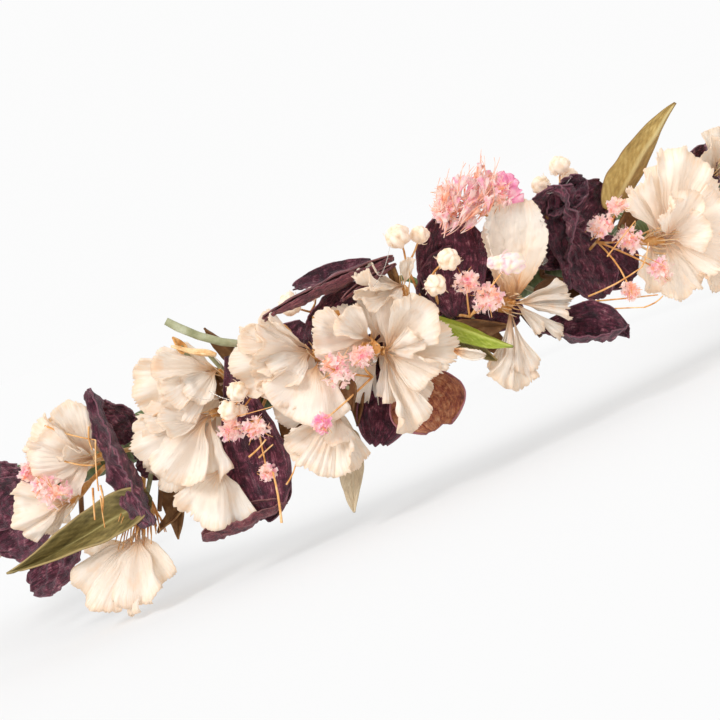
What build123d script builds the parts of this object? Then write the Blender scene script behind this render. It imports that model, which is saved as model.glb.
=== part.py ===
from build123d import *
import math
import os

# Dried flower crown: an open wire ring for an adult head, taped over a bundle of flower stems.
# The origin is the centre of the head ring, +Z is up as worn, and -Y is the front of the crown.
# A place on the crown is given as (around, radius, height): degrees round the ring from the front,
# positive towards +X, then millimetres from the ring's axis and above its plane.

# Ring, in millimetres and degrees
ring_radius = 93.0        # wire centre: a 56 to 58 cm head inside the tape
wire_radius = 0.9         # paper-covered steel wire
stems_radius = 2.3        # packed flower stems round the wire
tape_radius = 2.7         # crepe tape over the stems
tail_tape_radius = 1.5    # tape straight on the wire, behind the flowers
planted_half = 108.0      # the flowers cover this much each side of the front
tail_end = 165.0          # where the base wire stops, each side
fit_gap = 0.05            # paper and stems never close up completely

# Ribbon eyes at the two ends
eye_radius = 6.0          # centre line of the bent wire
eye_shank = 12.0          # doubled wire that lies beside the base wire
shank_lift = 0.8          # the ring curves away under the straight shank, so its far end stays clear

# Cream flowers
flower_stem_radius = 0.7
calyx_length = 8.0
calyx_radius = 2.1
bloom_wall = 0.7

# Thin parts
petal_thickness = 0.45
leaf_thickness = 0.4
twig_radius = 0.35
petiole_radius = 0.6

# Cream flowers: name: (foot around, head (around, radius, height), rim radius, bloom length)
cream_flowers = {
    "cream_flower_01": (-33, (-36, 113, 8), 6.5, 10),
    "cream_flower_02": (-37, (-44, 110, -5), 6.0, 9),
    "cream_flower_03": (-31, (-35, 103, -20), 6.5, 10),
    "cream_flower_04": (-14, (-20.5, 107, 11), 6.5, 9),
    "cream_flower_05": (-17.5, (-21, 113, -6), 7.0, 11),
    "cream_flower_06": (-4, (-8.5, 113, 5.5), 6.5, 10),
    "cream_flower_07": (-5.5, (-8, 112, -12), 6.5, 10),
    "cream_flower_08": (0.5, (-1, 114, 9), 5.0, 9),
    "cream_flower_09": (3, (5.5, 115, -3), 6.5, 11),
    "cream_flower_10": (6.5, (6, 107, 14), 4.5, 8),
    "cream_flower_11": (15, (18.5, 112, 10), 6.0, 10),
    "cream_flower_12": (17.5, (22, 110, -6.5), 4.5, 8),
    "cream_flower_13": (13.5, (14.5, 103, -16), 4.5, 8),
    "cream_flower_14": (35, (40.5, 113, 4), 8.0, 12),
    "cream_flower_15": (39, (46, 108, -10), 6.0, 9),
}

# Twigs: name: (foot around, fork, [(head place, head radius), ...])
pink_sprigs = {
    "pink_sprig_1": (19, (20, 102, 15), [((18, 107, 21), 3.6), ((22, 108, 22), 3.4), ((20, 103, 25), 3.0)]),
    "pink_sprig_2": (0, (0.5, 107, -4), [((-2.5, 114, 0.5), 3.0), ((0.3, 113, 1), 2.2), ((-5.5, 117.5, -7.5), 1.6)]),
    "pink_sprig_3": (-12, (-12.5, 106, -3), [((-14.8, 111, -2.5), 2.1), ((-12, 112, -4), 2.3), ((-13, 111, -13), 1.4)]),
    "pink_sprig_4": (12.5, (12.5, 106, -1), [((12.8, 111, 5.5), 2.2), ((14, 112, 1), 2.6), ((16.5, 117.5, 6), 2.3)]),
    "pink_sprig_5": (-37, (-37, 104, 0), [((-36, 113, -2.5), 2.3), ((-40, 110, 4.5), 1.6)]),
    "pink_sprig_6": (31, (31, 103, 2), [((29.5, 110, 5), 2.2), ((32, 110, 0), 2.5), ((34, 111, -8), 2.2)]),
}
bud_sprigs = {
    "bud_sprig_1": (10.5, (10.5, 105, 9), [((12, 112, 11), 2.4), ((9.8, 111.5, 7.5), 2.3)]),
    "bud_sprig_2": (9.5, (8.8, 102, 13), [((8.8, 106, 19), 2.6), ((11.3, 104, 17.5), 2.0)]),
    "bud_sprig_3": (-11, (-11.5, 105, 3), [((-12.4, 112, 6.2), 2.2), ((-13.5, 111, 3), 1.7), ((-15.3, 111, 1), 2.0)]),
    "bud_sprig_4": (-3, (-3, 99, 12), [((-4, 103, 16.5), 2.6), ((-0.7, 103, 17.5), 2.0)]),
    "bud_sprig_5": (29, (29.5, 99, 12), [((27, 103, 17), 2.0), ((30, 104, 19), 2.2), ((32, 101, 16), 2.0)]),
}

# Flat parts: name: (base, tip, way it faces as (around, up), width, radius of its hollow)
olive_leaves = {
    "olive_leaf_1": ((-27, 107, -11), (-50, 113, -15), (-38, -15), 9, 12),
    "olive_leaf_2": ((32, 101, 5), (44, 112, 20.5), (38, 20), 9, 12),
    "olive_leaf_3": ((8.5, 106, 0), (15.8, 111, -10), (12, 30), 5.5, 8),
    "olive_leaf_4": ((-4.5, 102, -13), (-6.5, 108, -27), (-5, 0), 8, 10),
}
brown_leaves = (
    ((-15, 99, -4), (-16.5, 104, 9), (-16, 10), 8, 12),
    ((0, 99, -3), (-2, 104, -13), (-2, -20), 8, 12),
    ((-27, 99, -8), (-29, 102, -19), (-27, -10), 9, 12),
)
burgundy_petals = {
    "burgundy_petal_01": ((-43, 99, -3), (-47, 109, -20), (-46, 0), 17, 22),
    "burgundy_petal_02": ((-45, 100, 2), (-54, 109, -3), (-50, 10), 15, 24),
    "burgundy_petal_03": ((-25, 104, -15), (-27.5, 109, 13.5), (-45, 0), 9, 18),
    "burgundy_petal_04": ((-12.5, 103, 12), (-14.8, 108, -15), (-13, 5), 13, 18),
    "burgundy_petal_05": ((-12, 97, -8), (-16, 103, -25), (-14, -10), 15, 14),
    "burgundy_petal_06": ((1, 100, 14.5), (-9, 108, 14.5), (-4, 80), 9, 12),
    "burgundy_petal_07": ((-2, 99, 19), (6.5, 104, 17), (2, 75), 8, 10),
    "burgundy_petal_08": ((4, 97, -4), (4.5, 106, -19), (4, -5), 18, 20),
    "burgundy_petal_09": ((13, 97, 3), (12, 105, 20.5), (12, 10), 13, 24),
    "burgundy_petal_10": ((25.5, 101, -3), (27, 112, 17), (24, 10), 15, 16),
    "burgundy_petal_11": ((30, 98, 7), (28, 106, -9), (29, -5), 13, 18),
    "burgundy_petal_12": ((18, 98, -9), (27, 107, -15), (23, -25), 12, 14),
    "burgundy_petal_13": ((49, 97, 3), (52, 108, 15), (50, 10), 14, 20),
}

# Green stalk that stands out at the top: two ends and the point its bow passes
stalk_points = ((-10.5, 103, 11.0), (-12.5, 107, 14.0), (-17.0, 110, 22.0))
stalk_radius = 0.8

# Drops of clear glue: (place, radius)
glue_drops = (
    ((1.0, 109.5, -0.5), 1.3),
    ((15.5, 104, -8.5), 0.9),
    ((-10.2, 104, -1.0), 0.9),
    ((24.0, 101.5, 3.0), 0.9),
    ((-24.5, 102, -2.0), 1.0),
)

# Both sides behind the front spray: each step goes further back, smaller and flatter
side_first, side_step, side_count = 58.0, 10.5, 5
side_shrink = 0.07


def spot(around, radius, height):
    """The point at a place on the crown."""
    turn = math.radians(around)
    return Vector(radius * math.sin(turn), -radius * math.cos(turn), height)


def core(around):
    """The point of the base wire at that angle."""
    return spot(around, ring_radius, 0)


def facing(around, up):
    """Unit vector that points out from the crown there, tilted up."""
    lift = math.radians(up)
    return spot(around, math.cos(lift), math.sin(lift))


def arc_rod(radius, start, end):
    """Round rod that follows the ring between two angles."""
    return Rot(0, 0, start - 90) * Torus(ring_radius, radius, major_angle=end - start, align=None)


def arc_tube(outer, inner, start, end):
    """Round tube that follows the ring between two angles."""
    return arc_rod(outer, start, end) - arc_rod(inner, start, end)


def rod(start, end, radius):
    """Straight round rod between two points."""
    along = end - start
    return Plane(origin=start, z_dir=along) * extrude(Circle(radius), along.length)


def ball(center, radius):
    return Pos(center.X, center.Y, center.Z) * Sphere(radius)


def ribbon_eye():
    """Right-hand wire eye for a tie ribbon, its shank laid outside the tape. Its axis points out from the head."""
    outward = facing(tail_end, 0)
    back = spot(tail_end + 90, 1, 0)
    neck = core(tail_end) + outward * (tail_tape_radius + wire_radius + fit_gap)
    eye = Plane(origin=neck + back * (eye_radius + wire_radius), z_dir=outward) * Torus(eye_radius, wire_radius)
    return eye + rod(neck + back * wire_radius, neck - back * eye_shank + outward * shank_lift, wire_radius)


def bloom(length, rim, bloom_length):
    """Flower on +Z from the origin: stem, calyx tube and an open funnel of petals, as one solid of revolution."""
    calyx_top = length - bloom_length
    calyx_foot = max(calyx_top - calyx_length, 1.0)
    outline = Polyline(
        (0, 0),
        (flower_stem_radius, 0),
        (flower_stem_radius, calyx_foot),
        (calyx_radius * 0.7, calyx_foot + 1.0),
        (calyx_radius, calyx_top - 1.0),
        (calyx_radius * 0.85, calyx_top),
        (rim * 0.62, calyx_top + bloom_length * 0.55),
        (rim, length),
        (rim - bloom_wall, length),
        (rim * 0.62 - bloom_wall, calyx_top + bloom_length * 0.6),
        (0, calyx_top + 1.5),
        (0, 0),
    )
    return revolve(make_face(Plane.XZ * outline), Axis.Z)


def taped_foot(around, toward, thickness):
    """Where a stem of that thickness comes out of the tape, on its way from the base wire to a point."""
    along = (toward - core(around)).normalized()
    lean = abs(along.dot(spot(around + 90, 1, 0)))
    return core(around) + along * (tape_radius + fit_gap + thickness * (lean + 0.2)) / math.sqrt(1 - lean * lean)


def flower(foot_around, head, rim, bloom_length):
    foot = taped_foot(foot_around, spot(*head), flower_stem_radius)
    along = spot(*head) - foot
    return Plane(origin=foot, z_dir=along) * bloom(along.length, rim, bloom_length)


def sprig(foot_around, fork, heads):
    """Twig from the base wire to a fork, with one round head on each branch."""
    fork_point = spot(*fork)
    foot = taped_foot(foot_around, fork_point, twig_radius)
    made = rod(foot, fork_point, twig_radius) + ball(fork_point, twig_radius * 1.2)
    for place, head_radius in heads:
        head_point = spot(*place)
        made += rod(fork_point, head_point, twig_radius) + ball(head_point, head_radius)
    return made


def petal_outline(length, half):
    """Rose petal: a narrow claw, widest at two thirds, round at the end."""
    shoulder = 0.62 * length
    return make_face([
        ThreePointArc((0, 0), (0.78 * half, 0.27 * length), (half, shoulder)),
        ThreePointArc((half, shoulder), (0, length), (-half, shoulder)),
        ThreePointArc((-half, shoulder), (-0.78 * half, 0.27 * length), (0, 0)),
    ])


def leaf_outline(length, half):
    """Leaf pointed at both ends."""
    return make_face([
        ThreePointArc((0, 0), (half, 0.45 * length), (0, length)),
        ThreePointArc((0, length), (-half, 0.45 * length), (0, 0)),
    ])


def place_flat(made, base, tip, face):
    """Lays a flat part that runs along +Y from base to tip, with its hollow side turned to face."""
    along = (tip - base).normalized()
    across = along.cross(face).normalized()
    return Plane(origin=base, x_dir=across, z_dir=across.cross(along)) * made


def petal(base, tip, face, width, hollow):
    """Cupped petal, a patch of a round shell, on a thin claw that comes out of the tape."""
    start, end = spot(*base), spot(*tip)
    length = (end - start).length
    depth = math.sqrt((hollow + petal_thickness / 2) ** 2 - (length / 2) ** 2)
    prism = extrude(petal_outline(length, width / 2), amount=hollow * 0.85, both=True)
    shell = Pos(0, length / 2, depth) * (Sphere(hollow + petal_thickness) - Sphere(hollow))
    claw = rod(taped_foot(base[0], start, petiole_radius), start, petiole_radius)
    return place_flat(prism & shell, start, end, facing(*face)) + claw


def leaf(base, tip, face, width, hollow):
    """Leaf with its sides raised along the midrib: a patch of a tube wall, and a short petiole."""
    start, end = spot(*base), spot(*tip)
    length = (end - start).length
    prism = extrude(leaf_outline(length, width / 2), amount=hollow * 0.9, both=True)
    wall = Cylinder(hollow + leaf_thickness, 2 * length) - Cylinder(hollow, 2 * length)
    trough = Pos(0, 0, hollow) * (Rot(90, 0, 0) * wall)
    blade = place_flat(prism & trough, start, end, facing(*face))
    foot = taped_foot(base[0], start, petiole_radius)
    return blade + rod(foot, start + (end - start) * 0.12, petiole_radius)


def stalk():
    """Bare stalk with one bow in it."""
    first, middle, last = (spot(*place) for place in stalk_points)
    path = ThreePointArc(first, middle, last)
    section = Plane(origin=path @ 0, z_dir=path % 0) * Circle(stalk_radius)
    foot = taped_foot(stalk_points[0][0], first, stalk_radius)
    return sweep(section, path=path) + rod(foot, first, stalk_radius) + ball(first, stalk_radius)


placed = []  # (solid, its box) of everything above the tape, in planting order


def meet(box_a, box_b):
    """True if two boxes meet."""
    return not any(low > high for low, high in zip(
        (*box_a.min, *box_b.min), (*box_b.max, *box_a.max)))


def plant(made):
    """Cuts a part clear of everything placed before it, keeps its largest solid, and places that."""
    box = made.bounding_box()
    for other, other_box in placed:
        if meet(box, other_box):
            left = [solid for solid in (made - other).solids() if solid.is_valid and solid.volume > 0]
            made = max(left, key=lambda solid: solid.volume)
    placed.append((made, box))
    return made


def write(name, *solids):
    shape = solids[0] if len(solids) == 1 else Compound(children=list(solids))
    shape.label = name
    export_step(shape, f"parts/{name}.step")


def write_pair(name, right):
    """Writes the right side's solids with their mirror images on the left, as one node."""
    write(name, *right, *[mirror(solid, Plane.YZ) for solid in right])


def side_plan():
    """Flowers, petals, leaves and twigs of the right side, from the front spray to the end of the planting."""
    blooms, petals, leaves, pinks, buds = [], [], [], [], []
    for step in range(side_count):
        size = 1 - side_shrink * step
        around = side_first + side_step * step
        height = 7.5 * (-1) ** step * size
        reach = ring_radius + 19 * size
        blooms.append((around - 3, (around, reach, height), 6.5 * size, 10 * size))
        petals.append((
            (around + 1.5, 97, -0.3 * height), (around + 3, 97 + 9 * size, -1.9 * height),
            (around + 2, 0), 14 * size, 18))
        petals.append((
            (around + 5, 97, 0.2 * height), (around + 6.5, 97 + 11 * size, 1.6 * height),
            (around + 20, 10), 12 * size, 15))
        if step % 2:
            leaves.append((
                (around - 1, 99, -0.6 * height), (around + 9, 109, -2.0 * height),
                (around + 4, -30), 8 * size, 12))
            pinks.append((around + 1, (around + 1, 101, -5 * size), [
                ((around + 1, 110, -7 * size), 2.4), ((around - 1.5, 108, -11 * size), 2.0)]))
        else:
            buds.append((around + 1, (around + 1, 100, -3), [
                ((around + 1.5, 109, -4), 2.2), ((around - 1.5, 107, -9), 2.0),
                ((around + 1.2, 105, -9.5), 1.8)]))
    return blooms, petals, leaves, pinks, buds


def build():
    os.makedirs("parts", exist_ok=True)
    planted = (-planted_half, planted_half)
    write("base_wire", arc_rod(wire_radius, -tail_end, tail_end))
    write("stem_bundle", arc_tube(stems_radius, wire_radius, *planted))
    write("floral_tape_front", arc_tube(tape_radius, stems_radius, *planted))
    write_pair("floral_tape_tails", [arc_tube(tail_tape_radius, wire_radius, planted_half, tail_end)])
    write("ribbon_eye_right", ribbon_eye())
    write("ribbon_eye_left", mirror(ribbon_eye(), Plane.YZ))

    blooms, petals, leaves, pinks, buds = side_plan()
    for name, plan in cream_flowers.items():
        write(name, plant(flower(*plan)))
    write_pair("cream_flowers_sides", [plant(flower(*plan)) for plan in blooms])
    write("green_stalk", plant(stalk()))
    for name, plan in {**pink_sprigs, **bud_sprigs}.items():
        write(name, plant(sprig(*plan)))
    write_pair("pink_sprigs_sides", [plant(sprig(*plan)) for plan in pinks])
    write_pair("bud_sprigs_sides", [plant(sprig(*plan)) for plan in buds])
    write("glue_drops", *[plant(ball(spot(*place), radius)) for place, radius in glue_drops])
    for name, plan in olive_leaves.items():
        write(name, plant(leaf(*plan)))
    write("brown_leaves", *[plant(leaf(*plan)) for plan in brown_leaves])
    write_pair("olive_leaves_sides", [plant(leaf(*plan)) for plan in leaves])
    for name, plan in burgundy_petals.items():
        write(name, plant(petal(*plan)))
    write_pair("burgundy_petals_sides", [plant(petal(*plan)) for plan in petals])


build()
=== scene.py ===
import math
import random

import bpy
import numpy
from mathutils import Matrix, Vector, noise


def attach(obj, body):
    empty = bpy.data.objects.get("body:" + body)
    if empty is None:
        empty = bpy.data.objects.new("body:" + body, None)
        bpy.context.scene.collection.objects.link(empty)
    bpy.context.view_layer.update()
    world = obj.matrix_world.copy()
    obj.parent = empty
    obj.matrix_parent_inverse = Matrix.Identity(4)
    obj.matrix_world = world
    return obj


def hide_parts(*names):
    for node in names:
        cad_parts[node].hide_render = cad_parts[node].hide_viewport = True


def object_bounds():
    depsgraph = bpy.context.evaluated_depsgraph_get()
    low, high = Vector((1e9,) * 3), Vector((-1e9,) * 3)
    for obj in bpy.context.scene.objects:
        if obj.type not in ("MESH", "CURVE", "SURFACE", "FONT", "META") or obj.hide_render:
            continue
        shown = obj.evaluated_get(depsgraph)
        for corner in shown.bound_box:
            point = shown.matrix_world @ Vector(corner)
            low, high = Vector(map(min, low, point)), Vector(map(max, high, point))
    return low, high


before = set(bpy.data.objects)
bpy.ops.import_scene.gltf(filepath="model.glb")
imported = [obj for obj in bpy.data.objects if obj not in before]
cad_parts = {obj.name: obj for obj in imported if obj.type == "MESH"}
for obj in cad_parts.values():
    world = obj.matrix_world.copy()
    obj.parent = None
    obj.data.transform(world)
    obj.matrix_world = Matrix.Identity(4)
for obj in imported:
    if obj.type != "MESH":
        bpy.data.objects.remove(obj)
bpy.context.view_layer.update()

# A dried flower crown. Lengths in the dictionaries are millimetres and angles are degrees.
# A place is (around, radius, height): round the ring from the front, from the ring's axis, above its plane.
# A heading is (swing, lean): 0 swing runs along the ring to the right, 90 is up; lean brings it outwards.
mm = 0.001
fullTurn = 6.28  # radians
maps = 97  # petals with the same streaks are at least this many seeds apart
wireRadius = 93  # the middle of the base wire
stemRadius = 94.5  # where the stem of a cream flower leaves the bundle
tapeRadius = 95.5  # just under the skin of the front tape
straight = Vector((0, 0, 0))  # the sag of a stem that does not bow


def onCrown(around, radius, height):
    turn = math.radians(around)
    return Vector((radius * math.sin(turn), -radius * math.cos(turn), height)) * mm


def crownAxes(around):
    turn = math.radians(around)
    outward = Vector((math.sin(turn), -math.cos(turn), 0))
    along = Vector((math.cos(turn), math.sin(turn), 0))
    return outward, along, Vector((0, 0, 1))


def nearTape(around):
    return onCrown(around, tapeRadius, 0)


def headingAt(around, swing, lean):
    outward, along, up = crownAxes(around)
    swing, lean = math.radians(swing), math.radians(lean)
    inPlane = along * math.cos(swing) + up * math.sin(swing)
    return inPlane * math.cos(lean) + outward * math.sin(lean)


# Colour and material helpers

def hexColour(code):
    # An sRGB code as the linear colour that a socket takes
    channels = [int(code[i:i + 2], 16) / 255 for i in (1, 3, 5)]
    linear = [c / 12.92 if c <= 0.04045 else ((c + 0.055) / 1.055) ** 2.4 for c in channels]
    return (*linear, 1.0)


def addNode(tree, kind, settings=None, links=None, stops=None):
    # Settings and links go by socket name or number; a setting that is no socket is the node's own
    made = tree.nodes.new(kind)
    for name, value in (settings or {}).items():
        if isinstance(name, int) or name in made.inputs:
            made.inputs[name].default_value = value
        else:
            setattr(made, name, value)
    for name, source in (links or {}).items():
        tree.links.new(source, made.inputs[name])
    if stops:
        ramp = made.color_ramp
        while len(ramp.elements) < len(stops):
            ramp.elements.new(0.5)
        for element, (place, code) in zip(ramp.elements, stops):
            element.position = place
            element.color = hexColour(code)
    return made


def newMaterial(name):
    material = bpy.data.materials.new(name)
    material.use_nodes = True
    material.node_tree.nodes.clear()
    return material, material.node_tree


def showSurface(tree, shader):
    addNode(tree, "ShaderNodeOutputMaterial", links={"Surface": shader})


def worked(tree, operation, *values):
    # One step of arithmetic on plain numbers and other nodes' outputs
    numbers = {place: value for place, value in enumerate(values) if isinstance(value, float)}
    sources = {place: value for place, value in enumerate(values) if not isinstance(value, float)}
    return addNode(tree, "ShaderNodeMath", {"operation": operation, **numbers}, sources).outputs[0]


def rescaled(tree, value, low, high, top=1.0):
    # 0 at low, top at high, and held there beyond them
    ranges = {"From Min": low, "From Max": high, "To Max": top}
    return addNode(tree, "ShaderNodeMapRange", ranges, {0: value}).outputs[0]


def rampOf(tree, value, stops):
    return addNode(tree, "ShaderNodeValToRGB", links={0: value}, stops=stops).outputs[0]


def overlaid(tree, under, code, share, blend="MIX"):
    # A plain colour over another. A colour mix has its share at 0, its colours at 6 and 7, its result at 2
    settings = {"data_type": "RGBA", "blend_type": blend, 7: hexColour(code)}
    sources = {6: under}
    if isinstance(share, float):
        settings[0] = share
    else:
        sources[0] = share
    return addNode(tree, "ShaderNodeMix", settings, sources).outputs[2]


def acrossAndAlong(tree):
    # The whole part of the map's x tells petals apart, so each has its own streaks
    uv = addNode(tree, "ShaderNodeUVMap", {"uv_map": "UVMap"}).outputs["UV"]
    parts = addNode(tree, "ShaderNodeSeparateXYZ", links={0: uv}).outputs
    return uv, worked(tree, "FRACT", parts["X"]), parts["Y"]


def stretchedNoise(tree, uv, scale, detail=4.0, roughness=0.6):
    # Noise laid by the map, for what runs along a petal, a leaf or the tape
    mapped = addNode(tree, "ShaderNodeMapping", {"Scale": scale}, {"Vector": uv}).outputs[0]
    settings = {"Scale": 1.0, "Detail": detail, "Roughness": roughness}
    return addNode(tree, "ShaderNodeTexNoise", settings, {"Vector": mapped}).outputs["Fac"]


def solidNoise(tree, settings):
    # Noise through the piece itself, for what has no direction
    coordinates = addNode(tree, "ShaderNodeTexCoord").outputs["Object"]
    return addNode(tree, "ShaderNodeTexNoise", settings, {"Vector": coordinates}).outputs["Fac"]


def bumpedFace(tree, colour, height, bumpMm, settings):
    bump = addNode(tree, "ShaderNodeBump", {"Distance": bumpMm * mm}, {"Height": height}).outputs[0]
    face = addNode(tree, "ShaderNodeBsdfPrincipled", settings, {"Base Color": colour, "Normal": bump})
    return face.outputs[0], bump


def thinSheet(tree, colour, height, bumpMm, sheer, tint, settings):
    # Dry plant tissue: a rough, weakly shining face that lets a share of the light behind it through
    face, bump = bumpedFace(tree, colour, height, bumpMm, settings)
    tinted = overlaid(tree, colour, tint, 1.0, "MULTIPLY")
    through = addNode(tree, "ShaderNodeBsdfTranslucent", links={"Color": tinted, "Normal": bump})
    mixed = addNode(tree, "ShaderNodeMixShader", {0: sheer}, {1: face, 2: through.outputs[0]})
    showSurface(tree, mixed.outputs[0])


def edgeShare(tree, across, along, width):
    # 1 on the outer rim of the map, 0 a little way in
    fromMiddle = worked(tree, "ABSOLUTE", worked(tree, "SUBTRACT", across, 0.5))
    furthest = worked(tree, "MAXIMUM", fromMiddle, worked(tree, "SUBTRACT", along, 0.51))
    return rescaled(tree, furthest, 0.49 - width, 0.49)


# Materials

def driedCreamPetal(name, glow):
    # Air-dried petal: papery ivory, orange only where it narrows to the claw, finely ribbed lengthwise
    material, tree = newMaterial(name)
    uv, _, along = acrossAndAlong(tree)
    streaks = stretchedNoise(tree, uv, (48, 1.8, 1), 5.0, 0.7)
    place = worked(tree, "ADD", along, worked(tree, "MULTIPLY_ADD", streaks, 0.5, -0.25))
    colour = rampOf(tree, place, [
        (0.0, "#bd7630"), (0.1, "#e0a662"), (0.22, "#f9ddb8"), (0.4, "#fcf3e5"),
        (0.85, "#fffcf6"), (1.0, "#fceeda")])
    blotches = stretchedNoise(tree, uv, (3.5, 2.5, 1), 3.0)
    warmed = overlaid(tree, colour, "#fbdfba", rescaled(tree, blotches, 0.56, 0.76, 0.6))
    # The faint emission is a painted glow that lifts the shade in the petals, standing in for light that wanders
    # sideways inside the tissue
    settings = {
        "Roughness": 0.6, "Specular IOR Level": 0.3,
        "Emission Color": hexColour("#fff6ee"), "Emission Strength": glow}
    thinSheet(tree, warmed, streaks, 0.26, 0.4, "#ffeed8", settings)
    return material


def driedRosePetal(name, stops, rimCode):
    # Rose petal dried dark: leathery, lighter along the veins and the thin rim, a little dusty; painted
    # highlight on the crests of the crumples and painted shade in their furrows
    material, tree = newMaterial(name)
    uv, across, along = acrossAndAlong(tree)
    veins = stretchedNoise(tree, uv, (30, 6, 1), 6.0, 0.75)
    crumple = solidNoise(tree, {"Scale": 500.0, "Detail": 7.0, "Roughness": 0.7, "Distortion": 0.8})
    ridges = worked(tree, "ADD", veins, crumple)
    # The colour follows the veins and the crumple of the bump: the veins are the petal's own lighter colour, the
    # crests painted highlight and the furrows painted shade
    colour = rampOf(tree, rescaled(tree, ridges, 0.8, 1.24), stops)
    edged = overlaid(tree, colour, rimCode, edgeShare(tree, across, along, 0.008))
    grains = solidNoise(tree, {"Scale": 2600.0, "Detail": 2.0})
    dusty = overlaid(tree, edged, "#c08c96", rescaled(tree, grains, 0.66, 0.74, 0.55))
    settings = {"Roughness": 0.48, "Specular IOR Level": 0.4, "Sheen Weight": 0.2, "Sheen Roughness": 0.4}
    thinSheet(tree, dusty, ridges, 0.7, 0.1, "#ff6a80", settings)
    return material


def driedLeaf(name, stops, ribCode, rimCode, roughness=0.5):
    # Leaf dried flat: a pale midrib, side veins that slant to the tip, mottled between them
    material, tree = newMaterial(name)
    uv, across, along = acrossAndAlong(tree)
    fromRib = worked(tree, "ABSOLUTE", worked(tree, "SUBTRACT", across, 0.5))
    slanted = worked(tree, "MULTIPLY_ADD", fromRib, -0.55, along)
    veins = worked(tree, "SINE", worked(tree, "MULTIPLY", slanted, 85.0))
    mottle = stretchedNoise(tree, uv, (7, 9, 1), 5.0, 0.65)
    height = worked(tree, "MULTIPLY_ADD", veins, 0.035, mottle)
    ribbed = overlaid(tree, rampOf(tree, height, stops), ribCode, rescaled(tree, fromRib, 0.09, 0.0))
    edged = overlaid(tree, ribbed, rimCode, edgeShare(tree, across, along, 0.04))
    thinSheet(tree, edged, height, 0.25, 0.1, "#e6e08a", {"Roughness": roughness, "Specular IOR Level": 0.4})
    return material


def driedFloret(name, stops, sheer=0.45):
    # Tiny papery florets: the colour drifts from one to the next, and a faint painted glow lifts their shade
    material, tree = newMaterial(name)
    drift = solidNoise(tree, {"Scale": 700.0, "Detail": 3.0})
    # The emission is a painted glow, not a lamp
    settings = {
        "Roughness": 0.6, "Specular IOR Level": 0.3,
        "Emission Color": hexColour("#ffe8e2"), "Emission Strength": 0.1}
    thinSheet(tree, rampOf(tree, drift, stops), drift, 0.1, sheer, "#fff2ee", settings)
    return material


def drySurface(name, stops, scale, bumpMm, roughness=0.6):
    # Stems, calyxes, paper and brown scraps: matte dry fibre with a drifting colour
    material, tree = newMaterial(name)
    fibre = solidNoise(tree, {"Scale": scale, "Detail": 5.0, "Roughness": 0.6})
    settings = {"Roughness": roughness, "Specular IOR Level": 0.3}
    showSurface(tree, bumpedFace(tree, rampOf(tree, fibre, stops), fibre, bumpMm, settings)[0])
    return material


def crepeTape():
    # Waxed crepe paper: fine wrinkles across the strip, with painted shade where they fold
    material, tree = newMaterial("waxedCrepeTape")
    uv = acrossAndAlong(tree)[0]
    wrinkles = stretchedNoise(tree, uv, (2.5, 520, 1), 3.0)
    # The colour follows the wrinkles of the bump: darker in the folds as painted shade
    colour = rampOf(tree, wrinkles, [(0.25, "#3f4a26"), (0.5, "#58653a"), (0.75, "#7b8757")])
    settings = {"Roughness": 0.6, "Specular IOR Level": 0.4}
    showSurface(tree, bumpedFace(tree, colour, wrinkles, 0.12, settings)[0])
    return material


def clearGlue():
    # Hot glue set from the melt: clear, slightly milky, glossy skin
    material, tree = newMaterial("clearHotGlue")
    face = addNode(tree, "ShaderNodeBsdfPrincipled", {
        "Base Color": hexColour("#f4efe6"), "Roughness": 0.12, "IOR": 1.48, "Transmission Weight": 0.85})
    showSurface(tree, face.outputs[0])
    return material


creamPetal = driedCreamPetal("driedCreamPetal", 0.07)
# A copy with a stronger painted glow, so that one flower is painted brighter, as if more strongly lit
paintedBrightPetal = driedCreamPetal("paintedBrightCreamPetal", 0.16)

# Rose petals: the face from furrow to crest, painted shade to painted highlight, then the rim
burgundyPetal = driedRosePetal("driedBurgundyPetal", [
    (0.0, "#300e1f"), (0.35, "#4d1a2d"), (0.58, "#6e2c41"), (0.8, "#995364"), (1.0, "#d0989c")], "#7d4856")
curledPetal = driedRosePetal("driedBurgundyRim", [
    (0.0, "#441822"), (0.35, "#70303a"), (0.65, "#964c52"), (1.0, "#c48482")], "#98605e")
rustPetal = driedRosePetal("driedRustPetal", [
    (0.0, "#7c342a"), (0.35, "#b8674c"), (0.65, "#dd9468"), (1.0, "#f4c8a2")], "#b4707a")

# Leaves: the mottling from dark to light, then the midrib and the rim
oliveLeaf = driedLeaf("driedOliveLeaf", [
    (0.2, "#40371c"), (0.42, "#6c5e34"), (0.58, "#8a7a47"), (0.8, "#b29e68")], "#aa9c62", "#a8905c")
paleOliveLeaf = driedLeaf("driedPaleOliveLeaf", [
    (0.2, "#826430"), (0.5, "#b0904e"), (0.8, "#d6ba78")], "#dcc88e", "#8e6c3c")
greenLeaf = driedLeaf("pressedGreenLeaf", [
    (0.2, "#74841e"), (0.5, "#9dac34"), (0.8, "#c8cf70")], "#b4bc58", "#8f9448", 0.4)
tanLeaf = driedLeaf("driedTanLeaf", [
    (0.2, "#b09e82"), (0.5, "#d8c6a8"), (0.8, "#f0e4cc")], "#eee2c8", "#cdb896")

# Florets and buds
pinkFloret = driedFloret("driedPinkFloret", [
    (0.3, "#fabcd8"), (0.4, "#ffdde6"), (0.5, "#fff4f0"), (0.8, "#fffcf6")], 0.6)
brightFloret = driedFloret("brightPinkFloret", [(0.3, "#f08cc0"), (0.45, "#f9b4d4"), (0.6, "#ffdbe6")])
peachFloret = driedFloret("driedPeachFloret", [(0.3, "#f3ad82"), (0.45, "#fcd2b6"), (0.6, "#fff0e4")], 0.55)
budPetal = driedFloret("driedCreamBud", [(0.25, "#e6cc9a"), (0.42, "#f9ead0"), (0.6, "#fff6e6")], 0.3)
blushBud = driedFloret("driedBlushBud", [(0.3, "#f9ccd8"), (0.5, "#fbe9e2"), (0.7, "#f4f0cc")], 0.25)

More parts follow.
